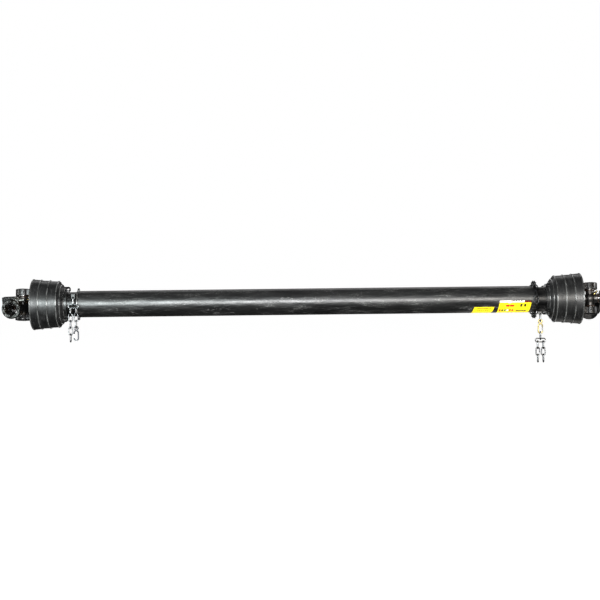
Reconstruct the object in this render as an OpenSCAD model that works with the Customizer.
// Agricultural universal joint shaft, fully closed, with its plastic guard and guard chains.
// X runs along the shaft, +Z is up. The origin is on the shaft axis, midway between the crosses.
// Side B (implement end) is drawn at +X. Side A (tractor end) is its mirror image at -X.
// Both sides are drawn in local coordinates, with the cross at zero and +x pointing outboard.

/* [Overall] */
// Distance between the two crosses with the shaft closed
closed_length = 1510; // [1400:10:1800]
// Turn of both drive tubes and tube yokes about the shaft axis
drive_phase = -8; // [-180:1:180]

/* [Joint poses] */
// Swing of the cross on the tube yoke, side A
swing_a = -80; // [-82:1:82]
// Fold of the end yoke on its cross, side A
fold_a = 15.5; // [-16:0.5:16]
// Swing of the cross on the tube yoke, side B
swing_b = 80; // [-82:1:82]
// Fold of the end yoke on its cross, side B
fold_b = 15.5; // [-16:0.5:16]

/* [Cross and bearings] */
// Radius of the four trunnions
trunnion_r = 8.65; // [8:0.05:9]
// Outer radius of a bearing cup
cup_r = 13.5; // [13:0.1:14]
// Distance from the cross centre to the outer end of a cup
cup_end = 37.3; // [37:0.1:37.5]
// Needles in one bearing cup
needle_count = 20; // [16:1:20]

/* [Yokes] */
// Distance from the cross centre to the inner face of an ear
ear_in = 23.5; // [23:0.1:24]
// Distance from the cross centre to the outer face of an ear
ear_out = 41; // [40:0.5:42]
// Radius of an ear round its cup
ear_r = 20; // [19:0.5:20.5]
// Radius of the clear space inside a fork
fork_clear_r = 46.5; // [46:0.5:47]
// Outer radius of the splined hub
hub_r = 25; // [24:0.5:26]
// Distance from the cross to the outer end of the hub
hub_end = 87; // [82:1:90]
// Minor radius of the splined bore (1 3/8 inch, 6 splines)
spline_minor_r = 14.95; // [14.9:0.01:15]
// Major radius of the splined bore
spline_major_r = 17.5; // [17.4:0.01:17.6]
// Width of one spline slot
spline_slot = 8.7; // [8.6:0.01:8.8]

/* [Push pin] */
// Radius of the push pin
push_pin_r = 6; // [5.5:0.1:6]
// Travel of the push pin
push_pin_travel = 7; // [5:0.5:7]

/* [Drive tubes] */
// Outer radius of the larger drive tube between its ribs
outer_drive_r = 21.5; // [21:0.1:21.5]
// Outer radius of the smaller drive tube between its ribs
inner_drive_r = 17.9; // [17.5:0.1:17.9]
// Length of each drive tube
drive_tube_l = 1255; // [1150:5:1260]

/* [Guard] */
// Outer radius of the outer guard tube
guard_tube_r = 35; // [34.8:0.1:35.2]
// Length of the outer guard tube
guard_tube_l = 1206; // [1000:2:1206]
// Radius of a guard cone at its open rim
cone_rim_r = 66; // [65:0.5:67]
// Wall of a guard cone
cone_wall = 3; // [2.5:0.1:3.5]

/* [Chains] */
// Wire diameter of a chain link
wire_d = 3; // [2.8:0.1:3]
// Inner length of a chain link
link_inner = 18; // [17.5:0.5:20]
// Links in the wrap round the guard
wrap_links = 16; // [16:2:16]

/* [Hidden] */
$fn = 64;
far = 200;

joint_x = closed_length / 2;

// Bearing stack, measured along a trunnion from the cross centre
seal_in = 19.5;
cup_in = 22.3;
cup_floor = 3;
cup_bore_r = cup_r - 2;
needle_r = (cup_bore_r - trunnion_r) / 2 - 0.05;
needle_circle_r = (cup_bore_r + trunnion_r) / 2;
clip_t = 1.4;
clip_r = cup_r + 0.8;
nipple_r = 3;
nipple_seat = 19.6;

// Tube yoke and its socket, local x
base_x = 60;
limb_half_w = 16.4;
ring_groove_x = [-124, -116];
shank_r = 28;
ring_groove_r = shank_r - 1.5;
shank_end = -140;
socket_end = -88;
roll_pin_x = -104;
roll_pin_r = 5;

// Push pin, local to the hub
push_pin_x = 69;
push_pin_z = 21;
pin_land_end = 11;
pin_waist_r = 3.3;
pin_stem_r = 2.5;
keeper_y = pin_land_end + push_pin_travel + 4;
keeper_t = 3;

// Drive tube profiles
rib_step = 3.5;
outer_drive_wall = 3.2;
inner_drive_wall = 4;
outer_rib_w = 11;
inner_rib_w = 3.8;
drive_tube_start = -90;

// Guard, local x
rim_x = -28;
band_l = 23.3;
band_drop = 2;
shoulder_x = -99;
neck_x = -112;
shoulder_r = 59.5;
neck_cone_r = 44.5;
sleeve_r = 38;
collar_r = 32;
collar_bore_r = shank_r + 1.2;
flange_x = [-151, -146];
flange_r = 37.5;
spigot_end = -175;
lug_x = -116;
lug_r = 46;
lug_hole_r = 4;
lug_t = 5;
lug_angles_a = [30, 120, 210, 300];
lug_angles_b = [50, 140, 230, 320];
guard_tube_wall = 2.5;
inner_guard_r = guard_tube_r - guard_tube_wall - 0.5;
inner_guard_l = 1164;
screw_x = -117;
sleeve_end = -120.5;

// Chain, centrelines
wire_r = wire_d / 2;
bow_r = 4.75;
link_gap = 0.2;
hook_gap = 0.9;
half_link = link_inner / 2 + wire_r;
link_pitch = link_inner - link_gap;
hook_drop = wire_d + link_gap;
connector_half = 8.5;
strand_offset = 7.3;

// Snap hook, in its own plane below its eye
eye_r = 6.2;
eye_hole_r = 3.2;
hook_r = 7;
hook_bore_r = 4;
hook_top = -12;
hook_bottom = -26;
hook_t = 4;
gate_x = 5.5;
gate_t = 2.6;

// Chain hanging points, local x, y and z
hanger_a = [-141, -46, 17.5];
hanger_b = [-133, 0, -38.5];
hanger_hole_r = 2.5;

// ---- placing ----

module side_b() {
    translate([joint_x, 0, 0]) children();
}

module side_a() {
    mirror([1, 0, 0]) side_b() children();
}

// Turned with the drive tubes
module on_drive() {
    rotate([drive_phase, 0, 0]) children();
}

// Turned with a cross
module on_cross(swing) {
    on_drive() rotate([0, 0, swing]) children();
}

// Turned with an end yoke
module on_end_yoke(swing, fold) {
    on_cross(swing) rotate([0, fold, 0]) children();
}

// Lies on the front at 0 degrees and on top at 90 degrees
module at_angle(angle) {
    rotate([90 - angle, 0, 0]) children();
}

// Turns a profile of [radius, x] round the shaft axis
module turned(points) {
    rotate([0, 90, 0]) rotate_extrude() polygon(points);
}

module rod_x(r, from, to) {
    translate([from, 0, 0]) rotate([0, 90, 0]) cylinder(r = r, h = to - from);
}

module rod_y(r, from, to) {
    translate([0, from, 0]) rotate([-90, 0, 0]) cylinder(r = r, h = to - from);
}

module rod_z(r, from, to) {
    translate([0, 0, from]) cylinder(r = r, h = to - from);
}

// Repeats its children on both ends of a pin along z
module both_ends() {
    children();
    mirror([0, 0, 1]) children();
}

// ---- cross and its bearings ----

// Turns a pin along z into a pin along y
module pin_y() {
    rotate([90, 0, 0]) children();
}

module cross_body() {
    difference() {
        union() {
            sphere(r = 15);
            for (side = [0, 90]) rotate([side, 0, 0]) {
                rod_z(trunnion_r + 2.2, -seal_in, seal_in);
                rod_z(trunnion_r, -cup_end + cup_floor + 0.6, cup_end - cup_floor - 0.6);
            }
        }
        for (side = [0, 90]) rotate([side, 0, 0]) rod_z(2, -far, far);
        rotate([45, 0, 0]) rod_z(nipple_r, 0, far);
    }
}

module seal_pair() {
    both_ends() difference() {
        rod_z(trunnion_r + 4, seal_in, cup_in - 0.15);
        rod_z(trunnion_r, 0, far);
    }
}

// The lubrication nipple sits between two trunnions
module nipple() {
    rotate([45, 0, 0]) difference() {
        union() {
            rod_z(nipple_r, 8, nipple_seat);
            translate([0, 0, nipple_seat]) cylinder(r = 4.2, h = 3, $fn = 6);
            rod_z(2.2, nipple_seat + 3, nipple_seat + 6);
            translate([0, 0, nipple_seat + 6.4]) sphere(r = 2.6);
        }
        rod_z(0.9, 0, far);
    }
}

// A full set of needles, held together by a thin cage
module needle_pair() {
    both_ends() translate([0, 0, cup_in + 1]) linear_extrude(cup_end - cup_floor - cup_in - 2)
        difference() {
            union() {
                circle(r = needle_circle_r + 0.3);
                for (i = [1 : needle_count]) rotate(i * 360 / needle_count)
                    translate([needle_circle_r, 0]) circle(r = needle_r);
            }
            difference() {
                circle(r = needle_circle_r - 0.3);
                for (i = [1 : needle_count]) rotate(i * 360 / needle_count)
                    translate([needle_circle_r, 0]) circle(r = needle_r);
            }
        }
}

module cup_pair() {
    both_ends() difference() {
        rod_z(cup_r, cup_in, cup_end);
        rod_z(cup_bore_r, 0, cup_end - cup_floor);
    }
}

// Circlips with an open gap between two eyelets
module clip_pair() {
    both_ends() difference() {
        union() {
            difference() {
                rod_z(clip_r, cup_end, cup_end + clip_t);
                rod_z(clip_r - 3, 0, far);
            }
            for (side = [-1, 1]) translate([clip_r - 4.2, side * 4.4, 0]) rod_z(2.4, cup_end, cup_end + clip_t);
        }
        translate([clip_r - 7, -2.2, 0]) cube([10, 4.4, far]);
        for (side = [-1, 1]) translate([clip_r - 4.2, side * 4.4, 0]) rod_z(1, 0, far);
    }
}

// ---- yokes ----

// A fork with its pin along z and its body towards +x
module fork(body_r) {
    side_view = [
        [-ear_r - 1, ear_out], [14, ear_out], [48, body_r + 4], [base_x, body_r],
        [base_x, -body_r], [48, -body_r - 4], [14, -ear_out], [-ear_r - 1, -ear_out]
    ];
    difference() {
        intersection() {
            linear_extrude(2 * ear_out + 2, center = true) union() {
                circle(r = ear_r);
                polygon([[0, ear_r], [12, limb_half_w], [44, limb_half_w], [base_x, ear_r],
                    [base_x, -ear_r], [44, -limb_half_w], [12, -limb_half_w], [0, -ear_r]]);
            }
            rotate([90, 0, 0]) linear_extrude(2 * ear_r + 2, center = true) polygon(side_view);
        }
        intersection() {
            cube([far, far, 2 * ear_in], center = true);
            sphere(r = fork_clear_r);
        }
        rod_z(cup_r, -far, far);
        both_ends() rod_z(clip_r, cup_end, cup_end + clip_t + 0.1);
    }
}

module splined_bore() {
    rotate([0, 90, 0]) linear_extrude(far) union() {
        circle(r = spline_minor_r);
        intersection() {
            circle(r = spline_major_r);
            for (i = [0 : 5]) rotate(i * 60) translate([0, -spline_slot / 2]) square([far, spline_slot]);
        }
    }
}

module end_yoke() {
    difference() {
        union() {
            pin_y() fork(hub_r);
            difference() {
                union() {
                    rod_x(hub_r, 48, hub_end - 2);
                    turned([[0, hub_end - 2], [hub_r, hub_end - 2], [hub_r - 2, hub_end], [0, hub_end]]);
                    translate([push_pin_x - 10, -20, 0]) cube([20, 45, push_pin_z + 9.5]);
                }
                sphere(r = fork_clear_r);
            }
        }
        splined_bore();
        translate([push_pin_x, 0, push_pin_z]) rod_y(push_pin_r + 0.05, -far, far);
    }
}

module push_pin() {
    translate([push_pin_x, 0, push_pin_z]) {
        rod_y(push_pin_r - 1, -32, -31);
        rod_y(push_pin_r, -31, -17);
        rod_y(pin_waist_r, -17, -4);
        rod_y(push_pin_r, -4, pin_land_end);
        rod_y(pin_stem_r, pin_land_end, keeper_y + 2);
    }
}

// The coil is drawn as a grooved sleeve round the pin's stem
module pin_spring() {
    turns = 5;
    pitch = (keeper_y - pin_land_end) / turns;
    coils = [for (i = [0 : turns - 1]) let (y = pin_land_end + i * pitch)
        each [[5, y], [5, y + 0.6 * pitch], [4.2, y + 0.6 * pitch], [4.2, y + pitch]]];
    translate([push_pin_x, 0, push_pin_z]) rotate([-90, 0, 0]) rotate_extrude()
        polygon(concat([[3, pin_land_end]], coils, [[3, keeper_y]]));
}

module pin_keeper() {
    translate([push_pin_x, 0, push_pin_z]) difference() {
        rod_y(push_pin_r + 0.05, keeper_y, keeper_y + keeper_t);
        rod_y(pin_stem_r + 0.2, 0, far);
    }
}

// Two round ribs on a round tube, as a flat section
module drive_section(r, rib_w) {
    circle(r = r);
    intersection() {
        circle(r = r + rib_step);
        square([rib_w, far], center = true);
    }
}

module along_x(from, to) {
    translate([from, 0, 0]) rotate([90, 0, 90]) linear_extrude(to - from) children();
}

module tube_yoke(tube_r, rib_w) {
    difference() {
        union() {
            mirror([1, 0, 0]) fork(shank_r);
            difference() {
                rod_x(shank_r, shank_end, -50);
                difference() {
                    rod_x(shank_r + 1, ring_groove_x[0], ring_groove_x[1]);
                    rod_x(ring_groove_r, -far, far);
                }
                sphere(r = fork_clear_r);
            }
        }
        along_x(shank_end - 1, socket_end) drive_section(tube_r, rib_w);
        translate([roll_pin_x, 0, 0]) rod_z(roll_pin_r, -far, far);
    }
}

module roll_pin() {
    translate([roll_pin_x, 0, 0]) difference() {
        rod_z(roll_pin_r, -27, 27);
        rod_z(roll_pin_r - 1.8, -far, far);
        translate([0, -0.6, -far / 2]) cube([far, 1.2, far]);
    }
}

module outer_drive_tube() {
    color("dimgray") mirror([1, 0, 0]) translate([joint_x, 0, 0]) on_drive() difference() {
        along_x(drive_tube_start - drive_tube_l, drive_tube_start) difference() {
            drive_section(outer_drive_r, outer_rib_w);
            drive_section(outer_drive_r - outer_drive_wall, outer_rib_w - 2 * outer_drive_wall);
        }
        translate([roll_pin_x, 0, 0]) rod_z(roll_pin_r, -far, far);
    }
}

module inner_drive_tube() {
    color("dimgray") side_b() on_drive() difference() {
        along_x(drive_tube_start - drive_tube_l, drive_tube_start) difference() {
            drive_section(inner_drive_r, inner_rib_w);
            circle(r = inner_drive_r - inner_drive_wall);
        }
        translate([roll_pin_x, 0, 0]) rod_z(roll_pin_r, -far, far);
    }
}

// ---- guard ----

module lug(angle) {
    at_angle(angle) rotate([90, 0, 0]) linear_extrude(lug_t, center = true) difference() {
        union() {
            translate([lug_x, lug_r]) circle(r = 7);
            polygon([[-119.5, 35], [-122.6, 44], [-114, 52.5], [-104, 53], [-111, 42], [-113, 35]]);
        }
        translate([lug_x, lug_r]) circle(r = lug_hole_r);
    }
}

module guard_cone(angles) {
    bands = [for (i = [0 : 2]) each [
        [cone_rim_r - band_drop * i, rim_x - band_l * i],
        [cone_rim_r - band_drop * i - 0.9, rim_x - band_l * (i + 1)]
    ]];
    inner_bands = [for (i = [2 : -1 : 0]) each [
        [cone_rim_r - band_drop * i - 0.9 - cone_wall, rim_x - band_l * (i + 1)],
        [cone_rim_r - band_drop * i - cone_wall, rim_x - band_l * i]
    ]];
    profile = concat(
        [[cone_rim_r + 0.9, rim_x], [cone_rim_r + 0.9, rim_x - 3]], [for (i = [1 : 5]) bands[i]],
        [[shoulder_r, shoulder_x], [neck_cone_r, neck_x], [sleeve_r + 1.5, neck_x],
            [sleeve_r + 1.5, neck_x - 1.5], [sleeve_r, neck_x - 1.5], [sleeve_r, sleeve_end],
            [collar_r, sleeve_end], [collar_r, -109],
            [neck_cone_r - 2, -109], [shoulder_r - cone_wall, shoulder_x + 1.5]],
        inner_bands
    );
    difference() {
        union() {
            turned(profile);
            for (angle = angles) lug(angle);
        }
        for (angle = angles) at_angle(angle + 45) translate([screw_x, 0, 0]) rod_z(1.55, 0, 80);
        turned([[0, -125], [collar_r, -125], [collar_r, -100], [0, -100]]);
    }
}

module collar_ribs(angles) {
    for (angle = angles) at_angle(angle) translate([-146, -lug_t / 2, collar_r - 1]) cube([22.5, lug_t, 5]);
}

module collar(angles, tube_bore_r) {
    difference() {
        union() {
            turned([
                [collar_bore_r, -104], [collar_r + 1.5, -104], [collar_r + 1.5, -108.8], [collar_r, -108.8],
                [collar_r, flange_x[1]], [flange_r, flange_x[1]], [flange_r, flange_x[0]],
                [tube_bore_r - 0.05, flange_x[0]], [tube_bore_r - 0.05, spigot_end],
                [tube_bore_r - 2.8, spigot_end], [min(tube_bore_r - 2.8, collar_bore_r), flange_x[0]],
                [collar_bore_r, flange_x[1]]
            ]);
            collar_ribs(angles);
        }
        for (angle = angles) at_angle(angle + 45) translate([screw_x, 0, 0]) rod_z(1.55, 0, 80);
        bearing_tabs();
    }
}

// Small drilled ears on the rim of the flange, top and bottom
module flange_ears() {
    for (angle = [90, 270]) at_angle(angle) translate([flange_x[0], 0, flange_r]) difference() {
        rod_x(4.5, 0, flange_x[1] - flange_x[0]);
        rod_x(2, -far, far);
        translate([-far / 2, -far / 2, -far]) cube([far, far, far - 0.8]);
    }
}

// The bracket that the left chain hangs from
module chain_bracket() {
    hx = hanger_a[0];
    hy = hanger_a[1];
    hz = hanger_a[2];
    difference() {
        union() {
            translate([hx - 4.5, hy - 2, hz + 4.5]) cube([9, -hy - 19, 4]);
            translate([hx - 4.5, hy - 2, hz]) cube([9, 4, 5]);
            translate([hx, 0, hz]) rod_y(4.5, hy - 2, hy + 2);
        }
        translate([hx, 0, hz]) rod_y(hanger_hole_r, -far, far);
        rod_x(collar_r - 1, -far, far);
    }
}

// The drilled lug that the right chain hangs from
module chain_lug() {
    hx = hanger_b[0];
    hz = hanger_b[2];
    difference() {
        union() {
            translate([hx, 0, hz]) rod_y(4.5, -2, 2);
            translate([hx - 4.5, -2, hz]) cube([9, 4, -hz - collar_r + 1]);
        }
        translate([hx, 0, hz]) rod_y(hanger_hole_r, -far, far);
    }
}

module bearing_tabs() {
    for (i = [0 : 3]) at_angle(i * 90 + 30) translate([-122, -4, 29]) cube([4, 8, 2.6]);
}

// The nylon ring that carries the guard on the tube yoke
module bearing_ring() {
    turned([
        [ring_groove_r + 0.1, ring_groove_x[0] + 0.2], [ring_groove_r + 0.1, ring_groove_x[1] - 0.2],
        [collar_bore_r, ring_groove_x[1] - 0.2], [collar_bore_r, ring_groove_x[0] + 0.2]
    ]);
    bearing_tabs();
}

module guard_screws(angles) {
    for (angle = angles) at_angle(angle + 45) translate([screw_x, 0, 0]) {
        rod_z(1.5, collar_bore_r + 0.3, sleeve_r);
        difference() {
            rod_z(3, sleeve_r, sleeve_r + 2);
            for (turn = [0, 90]) rotate(turn) translate([-2, -0.4, sleeve_r + 1]) cube([4, 0.8, far]);
        }
    }
}

module guard_tube(r, wall, from, length) {
    difference() {
        rod_x(r, from, from + length);
        rod_x(r - wall, -joint_x, joint_x);
    }
}

// A curved label on the front of the outer guard tube, between two angles below the front
module label(from, length, top, bottom) {
    translate([from, 0, 0]) rotate([0, 90, 0]) rotate([0, 0, top - 90])
        rotate_extrude(angle = bottom - top) translate([guard_tube_r, 0]) square([0.3, length]);
}

// ---- chains ----

// One link, its long axis along z and its wire in the XZ plane
module link(half = half_link) {
    straight = half - bow_r;
    for (side = [-1, 1]) {
        translate([side * bow_r, 0, -straight]) cylinder(r = wire_r, h = 2 * straight);
        translate([0, 0, side * straight]) rotate([90, 0, 0]) rotate([0, 0, side > 0 ? 0 : 180])
            rotate_extrude(angle = 180) translate([bow_r, 0]) circle(r = wire_r);
    }
}

// Alternate links hanging below a bar at height z, the first across the shaft
module strand(x, y, bar_z, count) {
    for (i = [0 : count - 1])
        translate([x, y, bar_z + hook_drop - half_link - i * link_pitch]) rotate([0, 0, i % 2 == 0 ? 90 : 0]) link();
}

module connector(x, y, z) {
    translate([x, y, z]) rotate([0, 90, 0]) link(connector_half + bow_r);
}

module snap_hook(x, y, z) {
    translate([x, y, z]) rotate([90, 0, 0]) difference() {
        union() {
            linear_extrude(hook_t, center = true) difference() {
                union() {
                    circle(r = eye_r);
                    translate([0, hook_top]) circle(r = hook_r);
                    translate([0, hook_bottom]) circle(r = hook_r);
                    translate([-hook_r, hook_bottom]) square([2 * hook_r, hook_top - hook_bottom]);
                }
                circle(r = eye_hole_r);
                translate([0, hook_top]) circle(r = hook_bore_r);
                translate([0, hook_bottom]) circle(r = hook_bore_r);
                translate([-hook_bore_r, hook_bottom]) square([2 * hook_bore_r, hook_top - hook_bottom]);
                translate([0, hook_bottom + 1]) square([far, hook_top - hook_bottom - 4]);
            }
            translate([gate_x, hook_top, 0]) cylinder(r = 1.2, h = hook_t + 1.6, center = true);
        }
        translate([gate_x - 2.3, hook_top - 4, -gate_t / 2 - 0.2]) cube([far, 6.3, gate_t + 0.4]);
    }
    translate([x + gate_x, y, z + hook_top]) rod_y(1.2, -hook_t / 2, hook_t / 2);
}

// The gate closes the hook's mouth and turns on its pin
module snap_gate(x, y, z) {
    translate([x + gate_x, y, z + hook_top]) difference() {
        rotate([90, 0, 0]) linear_extrude(gate_t, center = true) union() {
            circle(r = 1.9);
            translate([-1.3, hook_bottom - hook_top + 1.4]) square([2.6, hook_top - hook_bottom - 1.4]);
        }
        rod_y(1.25, -far, far);
    }
}

// A closed ring of links round the guard, every second link flat against it
module chain_wrap() {
    flat_half = asin(half_link / wrap_r);
    edge_half = asin((half_link - hook_drop) / wrap_r);
    step = 2 * (flat_half + edge_half);
    translate([wrap_x, 0, wrap_z]) for (i = [0 : wrap_links / 2 - 1]) {
        rotate([i * step, 0, 0]) translate([0, 0, wrap_r * cos(flat_half)]) rotate([90, 0, 0]) link();
        rotate([i * step + flat_half + edge_half, 0, 0]) translate([0, 0, wrap_r * cos(edge_half)])
            rotate([0, 90, 0]) rotate([90, 0, 0]) link();
    }
}

// Radius of the wrap's corners, from the sides of a polygon with alternate sides
wrap_guess = wrap_links * (2 * half_link - hook_drop) / 360 * 180 / PI;
function wrap_angle(r) = asin(half_link / r) + asin((half_link - hook_drop) / r);
wrap_fix = wrap_angle(wrap_guess) / (360 / wrap_links);
wrap_r = wrap_guess * wrap_fix;
wrap_x = -150;
wrap_z = -1.2;

// Heights down the two chains
connector_a_z = hanger_a[2] - 2 * half_link + hook_drop - bow_r;
bar_a_z = connector_a_z - bow_r;
eye_a_z = bar_a_z + hook_drop - 2 * link_pitch - 2 * half_link;
eye_b_z = hanger_b[2] - 2 * half_link;
link_b_z = eye_b_z + hook_bottom - hook_bore_r + wire_r + hook_gap - half_link;
connector_b_z = link_b_z - half_link + hook_drop - bow_r;
bar_b_z = connector_b_z - bow_r;

// ---- sub-parts, side A ----

module end_yoke_a() { color("black") side_a() on_end_yoke(swing_a, fold_a) end_yoke(); }
module push_pin_a() { color("silver") side_a() on_end_yoke(swing_a, fold_a) push_pin(); }
module pin_spring_a() { color("silver") side_a() on_end_yoke(swing_a, fold_a) pin_spring(); }
module pin_keeper_a() { color("silver") side_a() on_end_yoke(swing_a, fold_a) pin_keeper(); }
module cross_a() { color("gray") side_a() on_cross(swing_a) cross_body(); }
module seals_a() {
    color("sienna") side_a() on_cross(swing_a) {
        seal_pair();
        pin_y() seal_pair();
    }
}
module grease_nipple_a() { color("gold") side_a() on_cross(swing_a) nipple(); }
module needles_outer_a() { color("silver") side_a() on_end_yoke(swing_a, fold_a) pin_y() needle_pair(); }
module needles_inner_a() { color("silver") side_a() on_drive() needle_pair(); }
module cups_outer_a() { color("silver") side_a() on_end_yoke(swing_a, fold_a) pin_y() cup_pair(); }
module cups_inner_a() { color("silver") side_a() on_drive() cup_pair(); }
module clips_outer_a() { color("gray") side_a() on_end_yoke(swing_a, fold_a) pin_y() clip_pair(); }
module clips_inner_a() { color("gray") side_a() on_drive() clip_pair(); }
module tube_yoke_a() { color("black") side_a() on_drive() tube_yoke(outer_drive_r, outer_rib_w); }
module roll_pin_a() { color("gray") side_a() on_drive() roll_pin(); }
module guard_cone_a() { color("black") side_a() guard_cone(lug_angles_a); }
module collar_a() {
    color("black") side_a() {
        collar(lug_angles_a, guard_tube_r - guard_tube_wall);
        flange_ears();
        chain_bracket();
    }
}
module bearing_ring_a() { color("ivory") side_a() bearing_ring(); }
module guard_screws_a() { color("silver") side_a() guard_screws(lug_angles_a); }

// ---- sub-parts, side B ----

module end_yoke_b() { color("black") side_b() on_end_yoke(swing_b, fold_b) end_yoke(); }
module push_pin_b() { color("silver") side_b() on_end_yoke(swing_b, fold_b) push_pin(); }
module pin_spring_b() { color("silver") side_b() on_end_yoke(swing_b, fold_b) pin_spring(); }
module pin_keeper_b() { color("silver") side_b() on_end_yoke(swing_b, fold_b) pin_keeper(); }
module cross_b() { color("gray") side_b() on_cross(swing_b) cross_body(); }
module seals_b() {
    color("sienna") side_b() on_cross(swing_b) {
        seal_pair();
        pin_y() seal_pair();
    }
}
module grease_nipple_b() { color("gold") side_b() on_cross(swing_b) nipple(); }
module needles_outer_b() { color("silver") side_b() on_end_yoke(swing_b, fold_b) pin_y() needle_pair(); }
module needles_inner_b() { color("silver") side_b() on_drive() needle_pair(); }
module cups_outer_b() { color("silver") side_b() on_end_yoke(swing_b, fold_b) pin_y() cup_pair(); }
module cups_inner_b() { color("silver") side_b() on_drive() cup_pair(); }
module clips_outer_b() { color("gray") side_b() on_end_yoke(swing_b, fold_b) pin_y() clip_pair(); }
module clips_inner_b() { color("gray") side_b() on_drive() clip_pair(); }
module tube_yoke_b() { color("black") side_b() on_drive() tube_yoke(inner_drive_r, inner_rib_w); }
module roll_pin_b() { color("gray") side_b() on_drive() roll_pin(); }
module guard_cone_b() { color("black") side_b() guard_cone(lug_angles_b); }
module collar_b() {
    color("black") side_b() {
        collar(lug_angles_b, inner_guard_r - guard_tube_wall);
        chain_lug();
    }
}
module bearing_ring_b() { color("ivory") side_b() bearing_ring(); }
module guard_screws_b() { color("silver") side_b() guard_screws(lug_angles_b); }

// ---- guard tubes and labels ----

module outer_guard_tube() {
    color("black") guard_tube(guard_tube_r, guard_tube_wall, -joint_x - flange_x[0], guard_tube_l);
}
module inner_guard_tube() {
    color("black") guard_tube(inner_guard_r, guard_tube_wall, joint_x + flange_x[0] - inner_guard_l, inner_guard_l);
}
module label_small() { color("yellow") label(436, 60, 34, 84); }
module label_large() { color("yellow") label(503, 91, 5, 84); }

// ---- chain sub-parts ----

module chain_a_hanger() {
    color("silver") side_a() translate([hanger_a[0], hanger_a[1], hanger_a[2] - half_link]) rotate([0, 0, 90]) link();
}
module chain_a_connector() { color("silver") side_a() connector(hanger_a[0], hanger_a[1], connector_a_z); }
module chain_a_strand_left() {
    color("silver") side_a() strand(hanger_a[0] + strand_offset, hanger_a[1], bar_a_z, 5);
}
module chain_a_strand_right() {
    color("silver") side_a() strand(hanger_a[0] - strand_offset, hanger_a[1], bar_a_z, 3);
}
module snap_hook_a() { color("dimgray") side_a() snap_hook(hanger_a[0] - strand_offset, hanger_a[1], eye_a_z); }
module snap_gate_a() { color("silver") side_a() snap_gate(hanger_a[0] - strand_offset, hanger_a[1], eye_a_z); }
module chain_b_wrap() { color("silver") side_b() chain_wrap(); }
module chain_b_hanger() {
    color("silver") side_b() translate([hanger_b[0], 0, hanger_b[2] - half_link]) rotate([0, 0, 90]) link();
}
module snap_hook_b() { color("goldenrod") side_b() snap_hook(hanger_b[0], 0, eye_b_z); }
module snap_gate_b() { color("silver") side_b() snap_gate(hanger_b[0], 0, eye_b_z); }
module chain_b_link() { color("silver") side_b() translate([hanger_b[0], 0, link_b_z]) rotate([0, 0, 90]) link(); }
module chain_b_connector() { color("silver") side_b() connector(hanger_b[0], 0, connector_b_z); }
module chain_b_strand_left() { color("silver") side_b() strand(hanger_b[0] - strand_offset, 0, bar_b_z, 3); }
module chain_b_strand_right() { color("silver") side_b() strand(hanger_b[0] + strand_offset, 0, bar_b_z, 3); }

end_yoke_a();
push_pin_a();
pin_spring_a();
pin_keeper_a();
cross_a();
seals_a();
grease_nipple_a();
needles_outer_a();
needles_inner_a();
cups_outer_a();
cups_inner_a();
clips_outer_a();
clips_inner_a();
tube_yoke_a();
roll_pin_a();
outer_drive_tube();
end_yoke_b();
push_pin_b();
pin_spring_b();
pin_keeper_b();
cross_b();
seals_b();
grease_nipple_b();
needles_outer_b();
needles_inner_b();
cups_outer_b();
cups_inner_b();
clips_outer_b();
clips_inner_b();
tube_yoke_b();
roll_pin_b();
inner_drive_tube();
guard_cone_a();
collar_a();
bearing_ring_a();
guard_screws_a();
outer_guard_tube();
guard_cone_b();
collar_b();
bearing_ring_b();
guard_screws_b();
inner_guard_tube();
label_small();
label_large();
chain_a_hanger();
chain_a_connector();
chain_a_strand_left();
chain_a_strand_right();
snap_hook_a();
snap_gate_a();
chain_b_wrap();
chain_b_hanger();
snap_hook_b();
snap_gate_b();
chain_b_link();
chain_b_connector();
chain_b_strand_left();
chain_b_strand_right();
